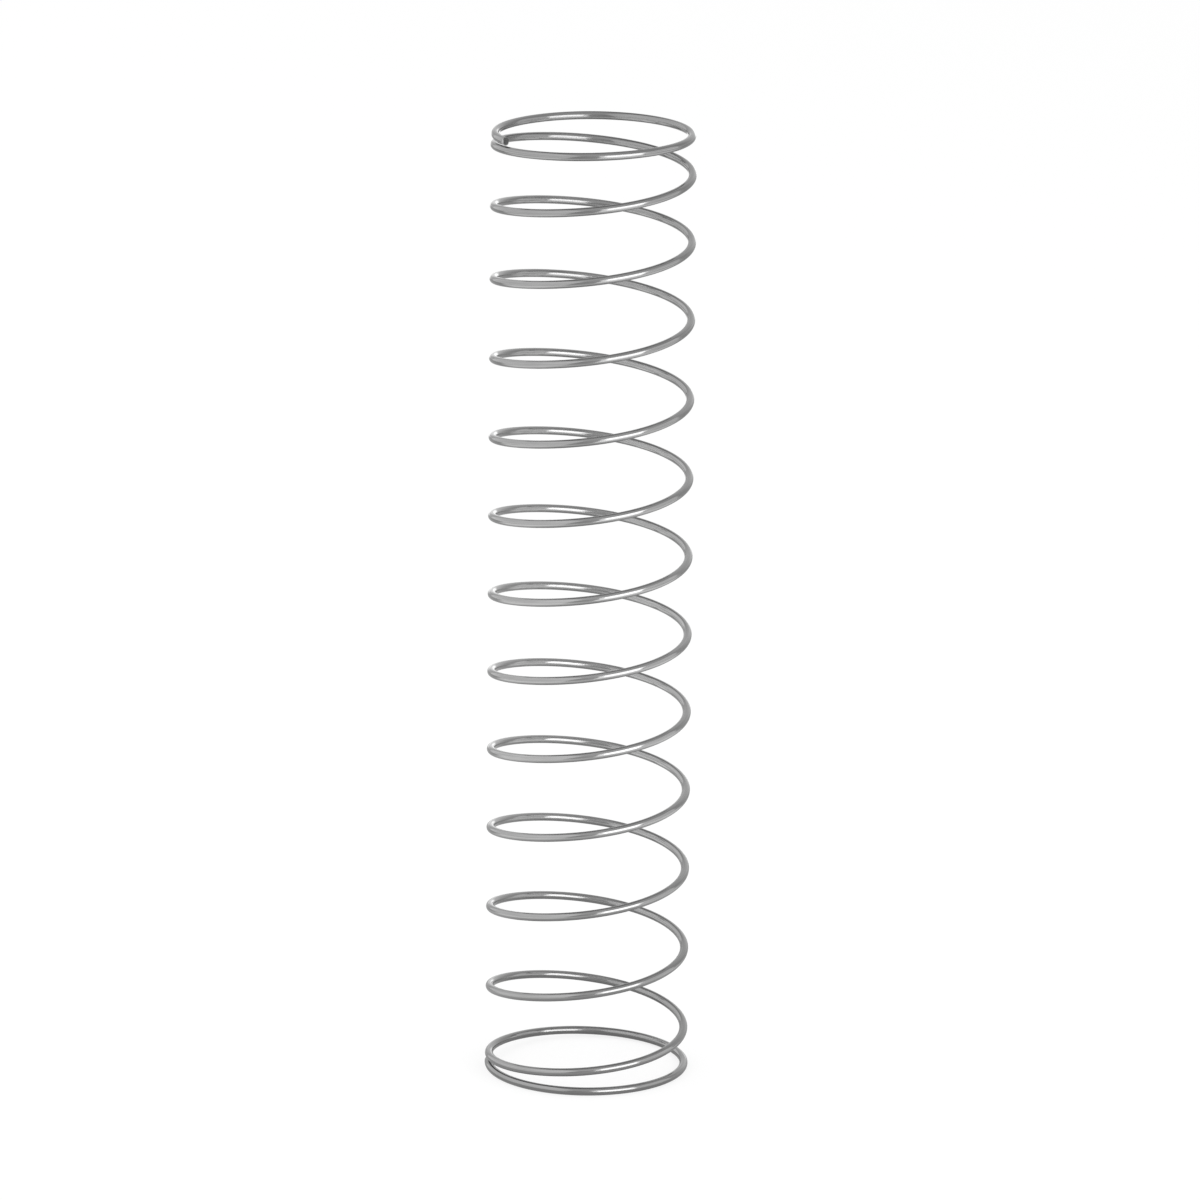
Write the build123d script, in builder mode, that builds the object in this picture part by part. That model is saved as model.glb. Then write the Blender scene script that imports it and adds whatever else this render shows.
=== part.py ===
from build123d import *
import math
import os

# Long light valve spring: one length of round drawn wire, coiled right-handed.
# Both ends are closed and left unground. The axis is Z and the bottom coil rests on Z = 0.

# Wire
wire_diameter = 1.25
cut_edge = 0.08  # bevel that the shearing tool leaves round each cut face

# Coil diameters, measured to the centre of the wire
coil_diameter = 30.0
bottom_coil_diameter = 30.2  # the closed coil at the bottom springs out a little
top_coil_diameter = 29.7  # the closed coil at the top is wound a little tighter

# Winding, in turns of wire
total_turns = 14.08
bottom_easing_turns = 1.07  # from the flat closed coil up to the full pitch
top_easing_turns = 0.5  # from the opening pitch down to the flat closed coil
top_settling_turns = 2.1  # from the upper pitch down to the opening pitch
middle_share = 0.425  # share of all the turns at which the pitch is the middle one
bottom_end_bearing = 178.0  # degrees about Z from X, where the wire begins

# Rise of one turn, from the bottom up. The pitch dips a little in the middle.
lower_pitch = 13.0
middle_pitch = 12.25
upper_pitch = 12.4
opening_pitch = 8.9  # where the top coil starts to close

# Wire ends
end_gap = 0.1  # clear space where an end lies along the next coil
tip_rise = 0.35  # the top end rides up as it meets the next coil
tip_turns = 0.25

# A closed coil stays flat until the wire must climb to clear the end by one diameter
end_climb = wire_diameter + end_gap
bottom_closed_turns = 1 - math.sqrt(2 * end_climb * bottom_easing_turns / lower_pitch)
top_closed_turns = 1 - math.sqrt(2 * (end_climb - tip_rise) * top_easing_turns / opening_pitch)

# Winding programme from the bottom end up: turns wound by then, pitch there, mean diameter there
top_flat = total_turns - top_closed_turns
programme = (
    (0, 0, bottom_coil_diameter),
    (bottom_closed_turns, 0, bottom_coil_diameter),
    (bottom_closed_turns + bottom_easing_turns, lower_pitch, coil_diameter),
    (middle_share * total_turns, middle_pitch, coil_diameter),
    (top_flat - top_easing_turns - top_settling_turns, upper_pitch, coil_diameter),
    (top_flat - top_easing_turns, opening_pitch, coil_diameter),
    (top_flat, 0, top_coil_diameter),
    (total_turns - tip_turns, 0, top_coil_diameter),
    (total_turns, 2 * tip_rise / tip_turns, top_coil_diameter),
)


def wire_centre(turn):
    """Centre of the wire after so many turns. The pitch changes evenly between two rows."""
    height = wire_diameter / 2
    for start, finish in zip(programme, programme[1:]):
        span = finish[0] - start[0]
        wound = min(turn, finish[0]) - start[0]
        share = wound / span
        pitch_here = start[1] + (finish[1] - start[1]) * share
        height += wound * (start[1] + pitch_here) / 2
        if turn <= finish[0]:
            break
    radius = (start[2] + (finish[2] - start[2]) * share) / 2
    bearing = math.radians(bottom_end_bearing + 360 * turn)
    return Vector(radius * math.cos(bearing), radius * math.sin(bearing), height)


# The wire's centre line is a chain of arcs, each one tangent to the last
arcs_per_turn = 8
arc_count = round(total_turns * arcs_per_turn)
start_bearing = math.radians(bottom_end_bearing)
heading = Vector(-math.sin(start_bearing), math.cos(start_bearing), 0)

with BuildPart() as coil_spring:
    with BuildLine() as centre_line:
        for step in range(arc_count):
            arc_start = wire_centre(total_turns * step / arc_count)
            arc_end = wire_centre(total_turns * (step + 1) / arc_count)
            arc = TangentArc(arc_start, arc_end, tangent=heading)
            heading = arc % 1
    wire_path = centre_line.wire()
    with BuildSketch(Plane(origin=wire_path @ 0, x_dir=(0, 0, 1), z_dir=wire_path % 0)):
        Circle(wire_diameter / 2)
    sweep(path=wire_path)
    cut_faces = coil_spring.faces().filter_by(GeomType.PLANE)
    chamfer(cut_faces.edges(), cut_edge)

coil_spring.part.label = "coil_spring"
os.makedirs("parts", exist_ok=True)
export_step(coil_spring.part, "parts/coil_spring.step")

box = coil_spring.part.bounding_box()
print(f"free length {box.size.Z:.2f} mm, outside diameter {box.size.X:.2f} by {box.size.Y:.2f} mm")
print(f"wire length {wire_path.length:.0f} mm, volume {coil_spring.part.volume:.1f} mm3")
print(f"flat closed coils: {bottom_closed_turns:.2f} turns below, {top_closed_turns:.2f} above")
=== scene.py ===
# %% [markdown]
# # A valve spring of drawn steel wire
#
# The object is one length of round wire, 1.25 mm thick, coiled into a long and light compression
# spring. This lesson loads the engineering solid, winds the same wire again as a mesh that is fit
# for close views, gives it the finish of drawn steel, and lights it as in a small photo studio.
# All lengths are in metres and +Z points up along the coil's axis.

# %% Load the solid
import math

import bpy
import numpy as np
from mathutils import Matrix, Vector
from mathutils.kdtree import KDTree


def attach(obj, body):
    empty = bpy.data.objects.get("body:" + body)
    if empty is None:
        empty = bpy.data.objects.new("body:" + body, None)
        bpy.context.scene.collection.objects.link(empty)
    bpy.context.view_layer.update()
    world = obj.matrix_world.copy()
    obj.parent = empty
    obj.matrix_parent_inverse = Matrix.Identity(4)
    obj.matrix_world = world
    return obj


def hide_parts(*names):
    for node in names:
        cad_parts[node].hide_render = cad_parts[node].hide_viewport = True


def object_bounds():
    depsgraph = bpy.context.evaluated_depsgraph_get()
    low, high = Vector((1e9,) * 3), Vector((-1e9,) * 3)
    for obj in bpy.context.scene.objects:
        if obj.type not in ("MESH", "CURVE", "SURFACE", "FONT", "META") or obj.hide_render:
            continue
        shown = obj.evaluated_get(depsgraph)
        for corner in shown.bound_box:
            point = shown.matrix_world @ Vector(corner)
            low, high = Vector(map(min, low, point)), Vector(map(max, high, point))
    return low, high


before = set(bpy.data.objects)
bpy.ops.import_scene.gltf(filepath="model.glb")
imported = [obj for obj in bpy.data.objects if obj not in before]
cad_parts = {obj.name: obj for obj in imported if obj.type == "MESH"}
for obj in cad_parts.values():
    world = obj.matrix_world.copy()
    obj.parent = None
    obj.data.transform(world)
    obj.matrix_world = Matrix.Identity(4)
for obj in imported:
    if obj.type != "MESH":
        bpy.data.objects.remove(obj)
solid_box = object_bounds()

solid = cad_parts["coil_spring"]
print("solid spring from", solid_box[0], "to", solid_box[1])

# %% [markdown]
# ## Sizes of the spring
#
# A coiling machine is set by a few numbers: the wire, the coil's diameter, and the rise of each turn,
# which changes along the spring. The solid was made from the same numbers. Writing them here in
# metres lets the mesh follow the solid with no fitting. The alternative, reading a path back out
# of the solid's triangles, would hide what the shape depends on.

# %% Sizes of the spring
MM = 0.001
wire_radius = 0.625 * MM
coil_diameter = 30.0 * MM
bottom_coil_diameter = 30.2 * MM
top_coil_diameter = 29.7 * MM

total_turns = 14.08
bottom_easing_turns = 1.07
top_easing_turns = 0.5
top_settling_turns = 2.1
middle_share = 0.425
tip_turns = 0.25
bottom_end_bearing = math.radians(178)

lower_pitch = 13.0 * MM
middle_pitch = 12.25 * MM
upper_pitch = 12.4 * MM
opening_pitch = 8.9 * MM
end_gap = 0.1 * MM
tip_rise = 0.35 * MM
print(f"{2 * wire_radius / MM:.2f} mm wire on a {coil_diameter / MM:.0f} mm coil, {total_turns} turns")

# %% [markdown]
# ## The winding programme
#
# The closed coils at the two ends lie flat, and between them the rise of a turn changes evenly from
# one station to the next. A row of the programme holds the turns wound so far, the rise of a turn
# there, and the coil's diameter there. The height is the running sum of the rise. A closed coil
# stays flat until the wire has to climb over its own end.

# %% Winding programme
end_climb = 2 * wire_radius + end_gap
bottom_flat_turns = 1 - math.sqrt(2 * end_climb * bottom_easing_turns / lower_pitch)
top_flat_turns = 1 - math.sqrt(2 * (end_climb - tip_rise) * top_easing_turns / opening_pitch)
top_flat_start = total_turns - top_flat_turns
opening_start = top_flat_start - top_easing_turns

programme = np.array((
    (0, 0, bottom_coil_diameter),
    (bottom_flat_turns, 0, bottom_coil_diameter),
    (bottom_flat_turns + bottom_easing_turns, lower_pitch, coil_diameter),
    (middle_share * total_turns, middle_pitch, coil_diameter),
    (opening_start - top_settling_turns, upper_pitch, coil_diameter),
    (opening_start, opening_pitch, coil_diameter),
    (top_flat_start, 0, top_coil_diameter),
    (total_turns - tip_turns, 0, top_coil_diameter),
    (total_turns, 2 * tip_rise / tip_turns, top_coil_diameter),
))
station_turn, station_pitch, station_diameter = programme.T
station_rise = np.diff(station_turn) * (station_pitch[1:] + station_pitch[:-1]) / 2
station_height = wire_radius + np.concatenate(([0], np.cumsum(station_rise)))


def wire_centre(turn):
    """Centre of the wire after so many turns, for a whole array of turns at once."""
    row = np.clip(np.searchsorted(station_turn, turn, side="right") - 1, 0, len(station_turn) - 2)
    wound = turn - station_turn[row]
    pitch_gain = (station_pitch[row + 1] - station_pitch[row]) / np.diff(station_turn)[row]
    height = station_height[row] + wound * station_pitch[row] + pitch_gain * wound**2 / 2
    radius = np.interp(turn, station_turn, station_diameter) / 2
    bearing = bottom_end_bearing + 2 * math.pi * turn
    return np.stack([radius * np.cos(bearing), radius * np.sin(bearing), height], axis=1)


print(f"flat closed coils: {bottom_flat_turns:.2f} turns below, {top_flat_turns:.2f} above")

# %% [markdown]
# ## The wire's path and its moving axes
#
# At each step along the wire the cross-section needs three directions: onward along the wire, outward
# from the coil's axis, and the third, nearly upward, at right angles to both. A curve object with
# a round bevel would make the tube too, but then the ends, the texture map and the lengthwise
# drawing marks could not be placed. So the rings are laid in one array.

# %% Path of the wire
rings_per_turn = 108
ring_count = round(total_turns * rings_per_turn) + 1
ring_turn = np.linspace(0, total_turns, ring_count)
centre = wire_centre(ring_turn)


def unit(vectors):
    return vectors / np.linalg.norm(vectors, axis=-1, keepdims=True)


onward = unit(np.gradient(centre, axis=0))
from_axis = unit(centre * (1, 1, 0))
outward = unit(from_axis - onward * np.sum(from_axis * onward, axis=1, keepdims=True))
upward = np.cross(onward, outward)
upward *= np.sign(upward[:, 2:])
step = np.linalg.norm(np.diff(centre, axis=0), axis=1)
run = np.concatenate(([0], np.cumsum(step)))
wire_length = run[-1]
print(f"wire length {wire_length / MM:.0f} mm in {ring_count} rings")

# %% [markdown]
# ## Is it the same wire as the solid?
#
# Before anything is built on this path, it is measured against the solid. Every corner of the
# solid's mesh should lie one wire radius from the path. A search tree of closely spaced path
# points answers that quickly.

# %% Measure the path against the solid
probes_per_ring = 12
corner_stride = 7  # every seventh corner is enough
probe = wire_centre(np.linspace(0, total_turns, probes_per_ring * ring_count))
tree = KDTree(len(probe))
for number, point in enumerate(probe):
    tree.insert(point, number)
tree.balance()
measured = list(solid.data.vertices)[::corner_stride]
miss = [abs(tree.find(corner.co)[2] - wire_radius) for corner in measured]
print(f"the solid's skin lies within {max(miss) / MM:.3f} mm of the path's")
print(f"and {np.mean(miss) / MM:.3f} mm from it on average")

# %% [markdown]
# ## The drawn skin of the wire
#
# Each ring has the same number of corners, so the skin is a plain grid of four-sided faces that
# run with the wire. That keeps reflections smooth round every bend.

# %% Skin of the wire
corners = 36
angle = np.arange(corners) * 2 * math.pi / corners  # 0 points outward, a quarter turn points up
outward_part = np.cos(angle)[None, :, None] * outward[:, None]
upward_part = np.sin(angle)[None, :, None] * upward[:, None]
skin = centre[:, None] + wire_radius * (outward_part + upward_part)
print(f"{corners} corners round the wire")

# %% [markdown]
# ## Sheared ends
#
# The wire is cut off by a blade that comes in from outside the coil. On that side the edge rolls
# over, and the first part of the cut is smooth and bright. The rest breaks off dull and rough, and a
# thin burr is left where the blade comes out. A flat disc would look cut by a laser, so each end
# gets rings of its own, closing from the rim to the centre. At the top the burr stands out a
# little too, and shuts most of the gap to the coil below.

# %% Shape of a sheared end
rollover = 0.20 * MM  # how far the edge is rounded where the blade enters
crisp_edge = 0.025 * MM  # and where it comes out
burr_height = 0.10 * MM
break_roughness = 0.022 * MM
face_rings = 9
smooth_share = 0.55  # how far in the smooth part of the cut ends: 1 is the rim, 0 the middle
smooth_lean = math.tan(math.radians(12))  # the smooth part leans back towards the blade
blade_entry = 0.0  # bearing round the section of the side where the blade enters, 0 is outward
burr_side = math.radians(-110)
burr_curl = 1.8  # how soon the burr bends back in
break_steepness = 5  # how suddenly the smooth part gives way to the break


def on_one_side(bearing, narrowness):
    """1 at one bearing round the section and 0 opposite, for each corner."""
    return (0.5 + 0.5 * np.cos(angle - bearing))**narrowness


def lean_back(radius):
    """How far the smooth part of the cut leans back at each corner of a ring."""
    towards_blade = np.cos(angle - blade_entry) * radius / wire_radius
    return smooth_lean * wire_radius * np.maximum(towards_blade - smooth_share, 0)


edge_rounding = crisp_edge + (rollover - crisp_edge) * on_one_side(blade_entry, 4)
burr = burr_height * on_one_side(burr_side, 6)


# %% Rings of a sheared end
def sheared_end(index, side):
    """Rings of one end from the rim inward, and how far out in the section each corner lies.

    side is +1 at the top end and -1 at the bottom end, where the seat has pressed the burr flat.
    """
    heading = side * onward[index]
    direction = np.cos(angle)[:, None] * outward[index] + np.sin(angle)[:, None] * upward[index]
    hanging = burr * max(side, 0)
    rings, shares = [], []

    def add_ring(radius, ahead):
        forward = (ahead - lean_back(radius))[:, None]
        rings.append(centre[index] + direction * radius[:, None] + heading * forward)
        shares.append(radius / wire_radius)

    for share in (0.25, 0.5, 0.75, 1.0):
        bend = share * math.pi / 2
        radius = wire_radius - edge_rounding * (1 - math.cos(bend))
        radius = radius + hanging * math.sin(math.pi * share)
        add_ring(radius, edge_rounding * (math.sin(bend) - 1) + burr * math.sin(burr_curl * bend))
    for ring in range(1, face_rings):
        share = 1 - ring / face_rings
        wave = np.sin(7 * angle + 3 * ring) * np.cos(4 * angle - 5 * ring)
        wave = wave + 0.6 * np.sin(11 * angle + ring * ring)
        radius = (wire_radius - edge_rounding) * share
        from_blade = smooth_share - np.cos(angle - blade_entry) * radius / wire_radius
        broken = np.clip(from_blade * break_steepness, 0, 1)
        add_ring(radius, break_roughness * wave * broken * share * math.sin(math.pi * share))
    return rings, shares, centre[index]


top_rings, top_shares, top_middle = sheared_end(-1, 1)
bottom_rings, bottom_shares, bottom_middle = sheared_end(0, -1)

# The last full ring steps back by the rounding and the lean, to stay behind the rounded edge
step_back = edge_rounding + lean_back(wire_radius)
skin[-1] -= onward[-1] * step_back[:, None]
skin[0] += onward[0] * step_back[:, None]
print(f"each end closes in {len(top_rings)} rings")

# %% [markdown]
# ## A texture map that runs with the wire
#
# More than a metre of wire has to fit a square map. It is cut into equal lengths that lie side by
# side like planks, each as high as the wire's girth. An automatic unwrap would chop the coil into
# hundreds of scraps.

# %% Map of the wire
girth = 2 * math.pi * wire_radius
plank_gap = 1.12  # planks stand this much apart, as a share of their height
planks = int(math.sqrt(wire_length / (girth * plank_gap)))
plank_length = wire_length / planks
map_used = 0.94  # share of the map's side that the planks take up
map_scale = map_used / max(plank_length, planks * girth * plank_gap)
map_margin = 0.02
print(f"{planks} planks, each {plank_length / MM:.0f} mm long")


def map_place(along, around, plank):
    """Place in the map of a point so far along the wire and round its girth, both in metres."""
    u = map_margin + (along - plank * plank_length) * map_scale
    v = map_margin + (plank * girth * plank_gap + around) * map_scale
    return u, v


# %% [markdown]
# ## Put the mesh together
#
# The skin and the two ends share corners, so the wire is one closed mesh. Each corner also keeps
# where it is on the wire: two numbers for its side of the section and one for its distance along
# the wire. The finish reads these, so drawing marks follow every bend. A last number says how far
# a corner lies in from the rim of a cut.

# %% Corners in layers
layers = bottom_rings[::-1] + list(skin) + top_rings
end_layers = len(bottom_rings)
layer_count = len(layers)
points = np.concatenate([np.concatenate(layers), [bottom_middle, top_middle]])
bottom_hub = layer_count * corners
top_hub = bottom_hub + 1

layer_run = np.concatenate((np.zeros(end_layers), run, np.full(end_layers, wire_length)))
inward = np.arange(1, end_layers + 1)
depth = np.concatenate((inward[::-1], np.zeros(ring_count), inward))
print(f"{layer_count} layers, {end_layers} of them on each cut end")

# %% Faces and map
faces, map_corners = [], []
cap_radius = 0.012
cap_centres = {-1: (0.975, 0.02), 1: (0.975, 0.06)}


def cap_place(side, number, layer_depth):
    """Place in the map of a corner of a cut end: a small disc in the map's free edge."""
    reach = cap_radius * (1 - layer_depth / (end_layers + 1))
    bearing = number * 2 * math.pi / corners
    u, v = cap_centres[side]
    return u + reach * math.cos(bearing), v + reach * math.sin(bearing)


for layer in range(layer_count - 1):
    on_end = layer < end_layers or layer >= layer_count - 1 - end_layers
    side = -1 if layer < end_layers else 1
    middle_run = (layer_run[layer] + layer_run[layer + 1]) / 2
    plank = min(int(middle_run / plank_length), planks - 1)
    for number in range(corners):
        following = (number + 1) % corners
        faces.append((
            layer * corners + number,
            layer * corners + following,
            (layer + 1) * corners + following,
            (layer + 1) * corners + number,
        ))
        for upper, step_round in ((0, 0), (0, 1), (1, 1), (1, 0)):
            if on_end:
                map_point = cap_place(side, number + step_round, depth[layer + upper])
            else:
                around = (number + step_round) * girth / corners
                map_point = map_place(layer_run[layer + upper], around, plank)
            map_corners.append(map_point)
last = (layer_count - 1) * corners
for number in range(corners):
    following = (number + 1) % corners
    faces.append((bottom_hub, following, number))
    faces.append((top_hub, last + number, last + following))
    for side, first, second in ((-1, number + 1, number), (1, number, number + 1)):
        map_corners.append(cap_centres[side])
        map_corners.append(cap_place(side, first, end_layers))
        map_corners.append(cap_place(side, second, end_layers))

mesh = bpy.data.meshes.new("spring_wire")
mesh.from_pydata(points.tolist(), [], faces)
mesh.polygons.foreach_set("use_smooth", np.ones(len(faces), bool))
strip_map = mesh.uv_layers.new(name="OFBake")
strip_map.data.foreach_set("uv", np.array(map_corners, np.float32).ravel())
print(f"wire mesh: {len(points)} corners, {len(faces)} faces")

# %% Marks on the corners
share_out = np.concatenate(bottom_shares[::-1] + [np.ones(ring_count * corners)] + top_shares)
section_ring = np.stack([np.cos(angle), np.sin(angle)], axis=1)
side_of_section = np.tile(section_ring, (layer_count, 1)) * share_out[:, None]
along_wire = np.repeat(layer_run / MM, corners)
place_on_wire = np.column_stack([side_of_section, along_wire])
place_on_wire = np.vstack([place_on_wire, (0, 0, 0), (0, 0, wire_length / MM)])
mark = mesh.attributes.new("place_on_wire", "FLOAT_VECTOR", "POINT")
mark.data.foreach_set("vector", place_on_wire.astype(np.float32).ravel())

cut_depth = np.append(np.repeat(depth, corners), (end_layers + 1, end_layers + 1))
mark = mesh.attributes.new("cut_depth", "FLOAT", "POINT")
mark.data.foreach_set("value", cut_depth.astype(np.float32))
mesh.update()
print(f"{len(place_on_wire)} corners marked with their place on the wire and their depth in a cut")

# %% The wire takes the solid's place
wire = bpy.data.objects.new("coil_spring_wire", mesh)
bpy.context.scene.collection.objects.link(wire)
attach(wire, "root")
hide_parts("coil_spring")
print(f"{wire.name} replaces coil_spring")

# %% [markdown]
# ## Drawn steel
#
# Wire gets its surface in the drawing die: very fine lines along its whole length, some bright and
# some dull, and a soft shine that spreads across the lines. The colour is a plain grey. Noise that
# is stretched along the wire gives the lines, once for their tone and gloss and once as a faint
# relief. The tangent of the map tells the shader which way the lines run.
#
# In the photograph the middle turns are the lightest and the grey deepens towards both ends. The
# light in this studio gives only a part of that, and the rest is painted light and shade: a slow
# change of tone along the wire, lightest a third of the way up and darker towards both ends. It
# stands in for light, so it is kept weak.

# %% Node helpers
def add_node(material, kind, **settings):
    """A new node with its settings, which are its own properties or else its input sockets."""
    node = material.node_tree.nodes.new(kind)
    for name, value in settings.items():
        if hasattr(node, name):
            setattr(node, name, value)
        else:
            node.inputs[name.replace("_", " ")].default_value = value
    return node


def join(material, source, target):
    material.node_tree.links.new(source, target)


def new_material(name):
    material = bpy.data.materials.new(name)
    material.use_nodes = True
    material.node_tree.nodes.clear()
    return material


def streaks(material, place, round_wire, per_mm, detail):
    """Noise with so many cells across the wire's radius and so many along one millimetre."""
    scaled = add_node(material, "ShaderNodeVectorMath", operation="MULTIPLY")
    scaled.inputs[1].default_value = (round_wire, round_wire, per_mm)
    join(material, place, scaled.inputs[0])
    noise = add_node(material, "ShaderNodeTexNoise", Scale=1.0, Detail=detail, Roughness=0.6)
    join(material, scaled.outputs[0], noise.inputs["Vector"])
    return noise.outputs["Fac"]


def remap(material, value, low, high, to_low, to_high):
    """Value spread from the range low to high over the range to_low to to_high, and held at its ends."""
    node = add_node(material, "ShaderNodeMapRange", clamp=True)
    sockets = ("From Min", "From Max", "To Min", "To Max")
    for socket, number in zip(sockets, (low, high, to_low, to_high)):
        node.inputs[socket].default_value = number
    join(material, value, node.inputs["Value"])
    return node.outputs["Result"]


def combine(material, operation, first, second):
    """One step of arithmetic on two values, each a number or a node's output."""
    node = add_node(material, "ShaderNodeMath", operation=operation)
    for socket, value in zip(node.inputs, (first, second)):
        if isinstance(value, (int, float)):
            socket.default_value = value
        else:
            join(material, value, socket)
    return node.outputs[0]


# %% Lines of the drawn wire
steel = new_material("drawn_steel_wire")
steel_output = add_node(steel, "ShaderNodeOutputMaterial")
steel_shader = add_node(steel, "ShaderNodeBsdfPrincipled")
join(steel, steel_shader.outputs["BSDF"], steel_output.inputs["Surface"])
place = add_node(steel, "ShaderNodeAttribute", attribute_name="place_on_wire").outputs["Vector"]
cut = add_node(steel, "ShaderNodeAttribute", attribute_name="cut_depth").outputs["Fac"]

fine_per_radius = 15.0
fine_lines = streaks(steel, place, fine_per_radius, 0.035, 2.0)
broad_lines = streaks(steel, place, 4.0, 0.02, 1.0)
patches = streaks(steel, place, 0.8, 0.20, 2.0)


def spread(noise, least, most):
    """Noise keeps mostly between 0.3 and 0.7, and here it is spread from one value to another."""
    return remap(steel, noise, 0.3, 0.7, least, most)


print(f"a fine line is about {wire_radius / MM / fine_per_radius:.3f} mm wide")

# %% Tone of the wire and of the break
tone = combine(steel, "MULTIPLY", spread(fine_lines, 0.90, 1.08), spread(broad_lines, 0.88, 1.10))
tone = combine(steel, "MULTIPLY", tone, spread(patches, 0.94, 1.05))
section = add_node(steel, "ShaderNodeSeparateXYZ")
join(steel, place, section.inputs[0])
# Painted light and shade: the grey is lightest a third of the way up the wire and darker towards both
# ends.
shaded_bottom_tone = 0.370
lit_middle_tone = 0.418
shaded_top_tone = 0.330
share_of_run = combine(steel, "DIVIDE", section.outputs["Z"], wire_length / MM)
painted_light_from_bottom = remap(steel, share_of_run, 0.18, 0.32, shaded_bottom_tone, lit_middle_tone)
painted_shade_to_top = remap(steel, share_of_run, 0.42, 1.00, 0.0, lit_middle_tone - shaded_top_tone)
grain_and_painted_light_tone = combine(steel, "MULTIPLY", tone, combine(steel, "SUBTRACT", painted_light_from_bottom, painted_shade_to_top))
cut_tone = spread(fine_lines, 0.04, 0.10)
past_rim = remap(steel, cut, 3.0, 4.5, 0.0, 1.0)
fade = 0.05  # half the width over which the smooth part turns into the break
past_smooth = remap(steel, section.outputs["X"], smooth_share - fade, smooth_share + fade, 1.0, 0.0)
on_break = combine(steel, "MULTIPLY", past_rim, past_smooth)
mixed_tone = add_node(steel, "ShaderNodeMix", data_type="FLOAT")
join(steel, on_break, mixed_tone.inputs["Factor"])
join(steel, grain_and_painted_light_tone, mixed_tone.inputs[2])
join(steel, cut_tone, mixed_tone.inputs[3])
grey = add_node(steel, "ShaderNodeCombineColor")
for channel in ("Red", "Green", "Blue"):
    join(steel, mixed_tone.outputs[0], grey.inputs[channel])
join(steel, grey.outputs["Color"], steel_shader.inputs["Base Color"])
print(f"tone {shaded_bottom_tone} at the bottom, {lit_middle_tone} at most, {shaded_top_tone:.2f} at the top")

# %% Gloss, relief and direction of the lines
gloss = combine(steel, "ADD", spread(fine_lines, -0.02, 0.03), spread(broad_lines, 0.11, 0.16))
mixed_gloss = combine(steel, "ADD", gloss, combine(steel, "MULTIPLY", on_break, 0.3))
join(steel, mixed_gloss, steel_shader.inputs["Roughness"])

relief = add_node(steel, "ShaderNodeBump", Strength=0.08, Distance=0.004 * MM)
join(steel, fine_lines, relief.inputs["Height"])
join(steel, relief.outputs["Normal"], steel_shader.inputs["Normal"])

run_direction = add_node(steel, "ShaderNodeTangent", direction_type="UV_MAP", uv_map="OFBake")
join(steel, run_direction.outputs["Tangent"], steel_shader.inputs["Tangent"])
steel_shader.inputs["Metallic"].default_value = 1.0
steel_shader.inputs["Anisotropic"].default_value = 0.6
steel_shader.inputs["Anisotropic Rotation"].default_value = 0.25
mesh.materials.append(steel)
print(f"{steel.name}: {len(steel.node_tree.nodes)} nodes")

# %% [markdown]
# ## Floor and background
#
# The spring stands on a plain white table in white surroundings. The white is a matter of colour
# and not of more light: to the camera both have a strength of 1. The table keeps a fifth of its
# own shading, and that is the soft shadow under the lowest coil. It ends a little way in front
# of the spring, so that one lamp can shine up past its edge.

# %% Floor
table_side = 1.5
table_front = 0.15
shade_kept = 0.2

floor_mesh = bpy.data.meshes.new("studio_floor")
floor_corners = [(-table_side, -table_front, 0), (table_side, -table_front, 0),
                 (table_side, table_side, 0), (-table_side, table_side, 0)]
floor_mesh.from_pydata(floor_corners, [], [(0, 1, 2, 3)])
floor = bpy.data.objects.new("studio_floor", floor_mesh)
bpy.context.scene.collection.objects.link(floor)

table = new_material("floor_white")
table_output = add_node(table, "ShaderNodeOutputMaterial")
table_matt = add_node(table, "ShaderNodeBsdfDiffuse", Color=(0.9, 0.9, 0.9, 1))
table_glow = add_node(table, "ShaderNodeEmission", Color=(1, 1, 1, 1))
table_ray = add_node(table, "ShaderNodeLightPath")
seen = combine(table, "MAXIMUM", table_ray.outputs["Is Camera Ray"], table_ray.outputs["Is Glossy Ray"])
seen = combine(table, "MAXIMUM", seen, table_ray.outputs["Is Transmission Ray"])
table_mix = add_node(table, "ShaderNodeMixShader")
join(table, combine(table, "MULTIPLY", seen, 1 - shade_kept), table_mix.inputs[0])
join(table, table_matt.outputs[0], table_mix.inputs[1])
join(table, table_glow.outputs[0], table_mix.inputs[2])
join(table, table_mix.outputs[0], table_output.inputs["Surface"])
floor_mesh.materials.append(table)
print(f"table {2 * table_side:.0f} m wide")

# %% [markdown]
# ## What the wire shows of the table
#
# A shiny round wire is one long curved mirror, so every shade on it is a shade of the room. In the
# photograph its underside is light grey in front, lighter towards the sides and darkest behind.
# An even white table would make the wire as pale as glass, and a darker metal would lose the
# bright lines. So the table carries painted light and shade, which only the metal's reflections
# show: lighter in front and towards the sides, darker behind except far back in the middle, and
# a painted shadow close round the spring's foot.


# %% Shades of the table
def blend(tree_owner, share, first, second):
    """First where share is 0 and second where it is 1. Each may be a number or a node's output."""
    node = add_node(tree_owner, "ShaderNodeMix", data_type="FLOAT")
    join(tree_owner, share, node.inputs["Factor"])
    for socket, value in zip(node.inputs[2:4], (first, second)):
        if isinstance(value, (int, float)):
            socket.default_value = value
        else:
            join(tree_owner, value, socket)
    return node.outputs[0]


table_point = add_node(table, "ShaderNodeTexCoord").outputs["Object"]
spot = add_node(table, "ShaderNodeSeparateXYZ")
join(table, table_point, spot.inputs[0])
off_centre = combine(table, "ABSOLUTE", spot.outputs["X"], 0.0)


def lean_over(slope):
    """How far back a point of the table lies, less so much for each metre that it lies off centre."""
    return combine(table, "SUBTRACT", spot.outputs["Y"], combine(table, "MULTIPLY", off_centre, slope))


# Painted light and shade on the table as the metal sees it: lighter towards the sides and to the left in
# front, darker behind, lighter again far behind the middle.
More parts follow.
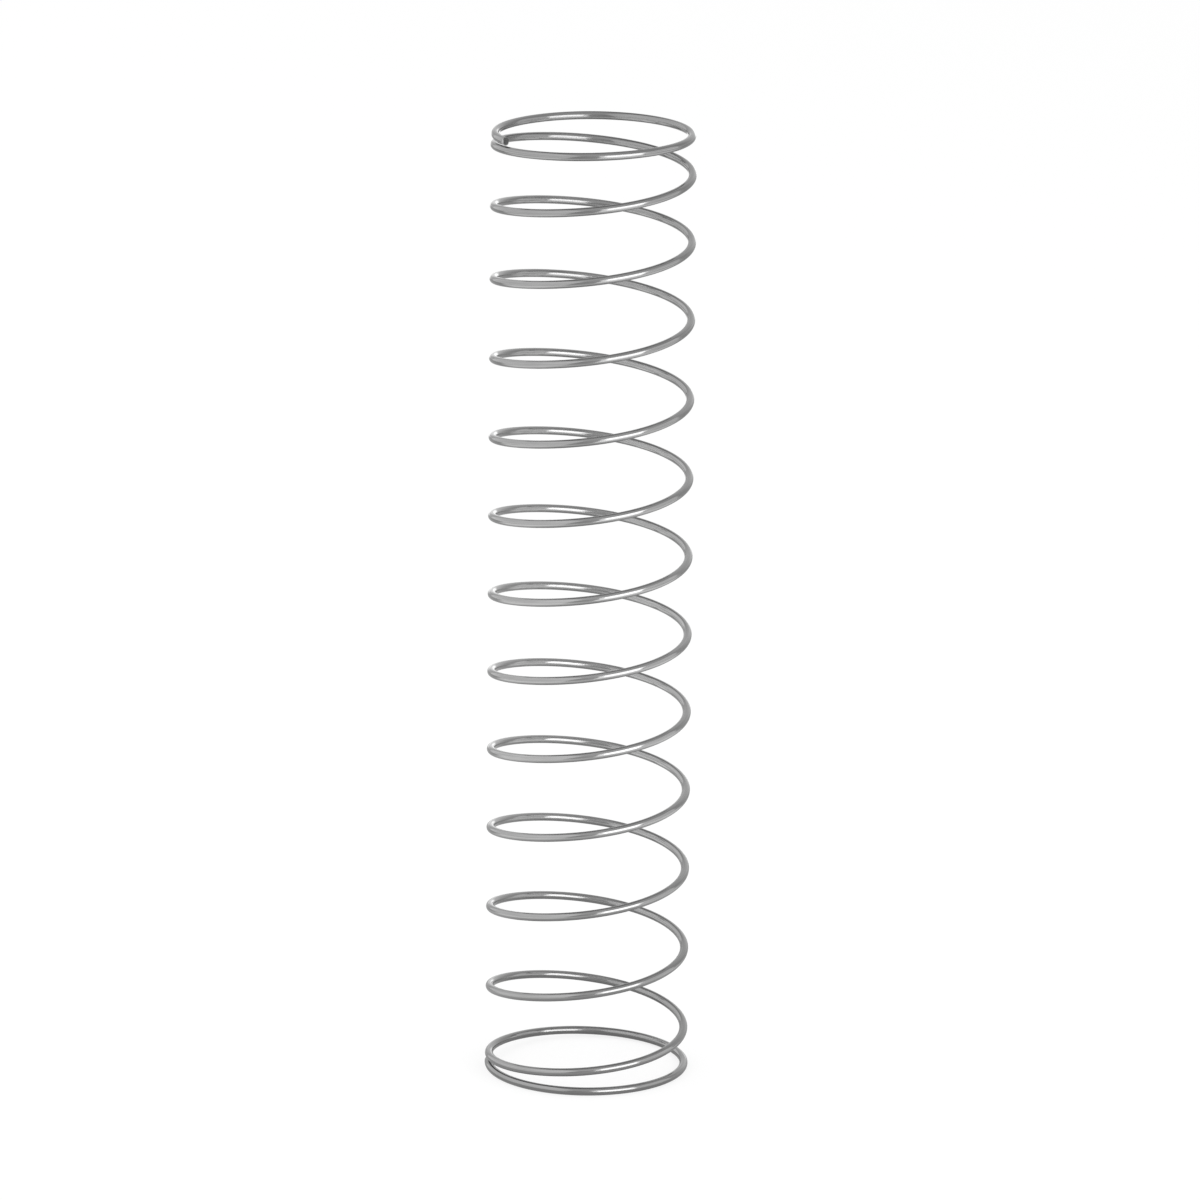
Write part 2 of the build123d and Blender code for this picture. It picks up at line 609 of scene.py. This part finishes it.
in_front = remap(table, off_centre, 0.005, 0.10, 0.82, 1.18)
in_front = combine(table, "ADD", in_front, remap(table, spot.outputs["X"], -0.12, 0.0, 0.15, 0.0))
in_front = combine(table, "SUBTRACT", in_front, remap(table, off_centre, 0.16, 0.40, 0.0, 0.55))
behind = 0.39
table_shade = blend(table, remap(table, lean_over(0.5), -0.02, 0.05, 0.0, 1.0), in_front, behind)
table_shade = combine(table, "ADD", table_shade, remap(table, lean_over(2.2), 0.18, 0.50, 0.0, 1.00))
from_axis_to_spot = add_node(table, "ShaderNodeVectorMath", operation="LENGTH")
join(table, table_point, from_axis_to_spot.inputs[0])
# Painted shadow: the table is darker close round the spring's foot.
near_shade = remap(table, from_axis_to_spot.outputs["Value"], 0.015, 0.100, 0.50, 1.0)
table_shade = combine(table, "MULTIPLY", table_shade, near_shade)
table_strength = blend(table, table_ray.outputs["Is Glossy Ray"], 1.0, table_shade)
join(table, table_strength, table_glow.inputs["Strength"])
print(f"{table.name}: {len(table.node_tree.nodes)} nodes")

# %% [markdown]
# ## What the wire shows of the walls
#
# The walls of the room come from the world's background, again white to the camera. The metal sees
# a grey room: lighter behind at the right, a small dark corner high up behind at the left, and a
# dark slit just left of the camera, which makes the dark band beside each white line. Straight
# behind is a pale doorway, and a bright window a little to its right gives the white spot inside
# each turn at the left. Each of these is a round patch in one direction, with a soft edge.

# %% Room
world = bpy.data.worlds.new("studio")
bpy.context.scene.world = world
world.use_nodes = True
world.node_tree.nodes.clear()
world_output = add_node(world, "ShaderNodeOutputWorld")
background = add_node(world, "ShaderNodeBackground", Strength=1.0)
direction = add_node(world, "ShaderNodeTexCoord").outputs["Generated"]
world_height = add_node(world, "ShaderNodeSeparateXYZ")
join(world, direction, world_height.inputs[0])


def towards(bearing, elevation):
    """Unit vector of a direction in degrees.

    bearing counts from the side that the photograph was taken from, positive to the right.
    """
    bearing, elevation = math.radians(bearing), math.radians(elevation)
    level = math.cos(elevation)
    return Vector((math.sin(bearing) * level, -math.cos(bearing) * level, math.sin(elevation)))


def facing(vector):
    """How far the seen direction points along a fixed vector."""
    node = add_node(world, "ShaderNodeVectorMath", operation="DOT_PRODUCT")
    node.inputs[1].default_value = vector
    join(world, direction, node.inputs[0])
    return node.outputs["Value"]


def with_patch(shade, bearing, elevation, inner, outer, patch_shade):
    """Shade with a patch of another one, full within inner degrees of a direction and gone at outer."""
    low, high = math.cos(math.radians(outer)), math.cos(math.radians(inner))
    share = remap(world, facing(towards(bearing, elevation)), low, high, 0.0, 1.0)
    return blend(world, share, shade, patch_shade)


print("straight behind:", [round(number, 2) for number in towards(180, 0)])

# %% Shades of the walls
height_of_view = world_height.outputs["Z"]
slope = combine(world, "MULTIPLY", height_of_view, facing((-0.10, -0.18, 0.10)))
upper_walls = combine(world, "ADD", slope, 0.60)
upper_walls = with_patch(upper_walls, 168, 20, 20, 42, 0.72)
upper_walls = with_patch(upper_walls, -163, 54, 8, 26, 0.28)
upper_walls = with_patch(upper_walls, -16, 10, 5, 16, 0.48)
upper_walls = with_patch(upper_walls, 162, 12, 6, 20, 0.82)
lower_walls = with_patch(0.69, -10, -20, 8, 24, 0.60)
walls = blend(world, remap(world, height_of_view, -0.03, 0.05, 0.0, 1.0), lower_walls, upper_walls)
walls = with_patch(walls, 180, -1, 7, 13, 0.95)
walls = with_patch(walls, 169, -3, 4, 10, 1.80)
shown = blend(world, add_node(world, "ShaderNodeLightPath").outputs["Is Glossy Ray"], 1.0, walls)
join(world, shown, background.inputs["Color"])
join(world, background.outputs[0], world_output.inputs["Surface"])
print(f"{world.name}: {len(world.node_tree.nodes)} nodes")

# %% [markdown]
# ## Lamps
#
# The wire shows its lamps as lines. A soft box at the right of the camera makes the white line
# along the front of each turn, and along the inside of each turn at the back. A real soft box is
# brightest in its middle, which tapers the line at both ends, so this one is two lamps, a smaller
# one laid over the larger. A low, narrow lamp below fades the line out downwards, and two wide,
# weak boards at the sides make the even light grey beside it. Each lamp is placed by the direction
# in which the metal sees it, and its power comes from how bright it should look.

# %% Lamps
middle = Vector((0, 0, (solid_box[0][2] + solid_box[1][2]) / 2))


def soft_box(name, bearing, elevation, distance, width, height, brightness):
    """A lamp that faces the spring. At brightness 1 the metal sees it as bright as a white wall."""
    data = bpy.data.lights.new(name, "AREA")
    data.shape = "RECTANGLE"
    data.size = width
    data.size_y = height
    data.energy = brightness * math.pi * width * height
    lamp = bpy.data.objects.new(name, data)
    away = towards(bearing, elevation)
    lamp.location = middle + distance * away
    lamp.rotation_euler = away.to_track_quat("Z", "Y").to_euler()
    bpy.context.scene.collection.objects.link(lamp)
    print(f"{name}: {data.energy:.1f} W")


soft_box("soft_box_right", 33.5, 13.5, 0.75, 0.73, 0.61, 0.95)
soft_box("soft_box_right_middle", 35.0, 13.5, 0.75, 0.58, 0.56, 1.55)
soft_box("table_glow_right", 33.5, -20, 0.50, 0.47, 0.24, 1.2)
soft_box("fill_board_left", -87, 12, 0.50, 1.96, 1.48, 0.41)
soft_box("fill_board_right", 85, 6, 0.70, 0.62, 0.90, 0.39)

# %% [markdown]
# ## Camera
#
# The photograph was taken from well away with a long lens, from a little above, so the coils keep
# nearly the same width from top to bottom. The spring leans by half a degree in it.

# %% Camera
camera_place = Vector((0, -1.3036, 0.4184))
camera_aim = Vector((0.00155, 0, 0.0746))
camera_roll = math.radians(0.488)
camera_lens = 264.6

camera_data = bpy.data.cameras.new("camera")
camera_data.sensor_width = 36
camera_data.lens = camera_lens
camera_data.clip_start = 0.01
camera = bpy.data.objects.new("camera", camera_data)
look = (camera_aim - camera_place).to_track_quat("-Z", "Y").to_matrix().to_4x4()
camera.matrix_world = Matrix.Translation(camera_place) @ look @ Matrix.Rotation(camera_roll, 4, "Z")
bpy.context.scene.collection.objects.link(camera)
bpy.context.scene.camera = camera
bpy.context.scene.view_settings.view_transform = "Standard"
print(f"camera {camera_place.length:.2f} m away")
